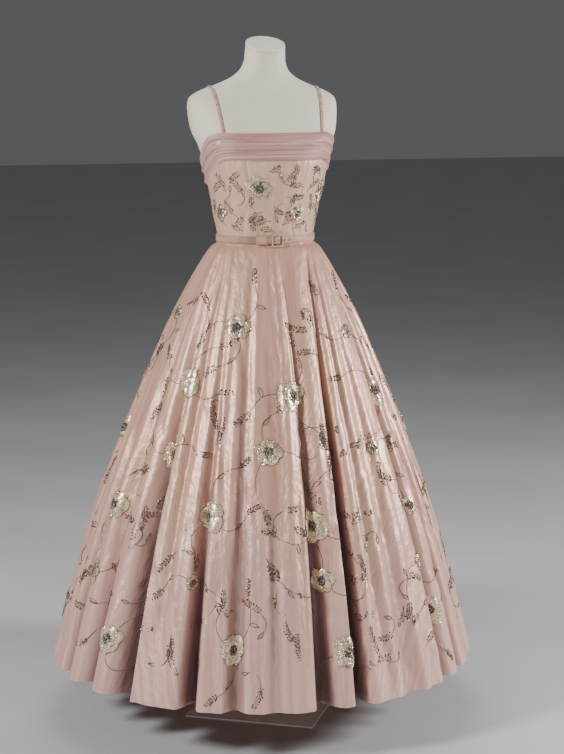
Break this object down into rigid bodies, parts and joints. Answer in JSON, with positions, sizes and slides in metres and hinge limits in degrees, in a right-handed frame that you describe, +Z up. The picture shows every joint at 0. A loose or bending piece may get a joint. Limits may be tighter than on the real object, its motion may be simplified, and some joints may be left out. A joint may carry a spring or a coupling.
{
  "type": "evening dress on dress form",
  "caption": "Strapped evening dress with a folded neckline band, fitted panelled bodice, narrow buckled belt and full gored skirt, on a limbless dress form with a pole and a square base plate.",
  "frame": {"origin": "middle of the base plate's underside, on the pole's axis", "axes": "+Z up; the dress faces -Y; +X is the wearer's left side"},
  "size_m": [0.9853, 0.9389, 1.5556],
  "materials": {
    "silk": "pale pink silk taffeta with a soft sheen",
    "band_silk": "fine pink silk organza in soft folds",
    "form_cover": "plain off-white cover, matt",
    "stand_metal": "satin",
    "plate_paint": "grey, satin"
  },
  "bodies": {
    "root": {"form_torso": "form_cover", "form_neck_cap": "form_cover", "pole": "stand_metal", "pole_collar": "stand_metal", "base_plate": "plate_paint", "bodice_front": "silk", "bodice_side_front_left": "silk", "bodice_side_front_right": "silk", "bodice_back_left": "silk", "bodice_back_right": "silk", "band_front": "band_silk", "band_back_left": "band_silk", "band_back_right": "band_silk", "strap_left": "band_silk", "strap_right": "band_silk", "belt": "silk", "buckle_frame": "silk", "buckle_prong": "stand_metal", "skirt_front": "silk", "skirt_side_front_left": "silk", "skirt_side_front_right": "silk", "skirt_side_back_left": "silk", "skirt_side_back_right": "silk", "skirt_back_left": "silk", "skirt_back_right": "silk", "buckle_bar": "silk"}
  },
  "joints": []
}
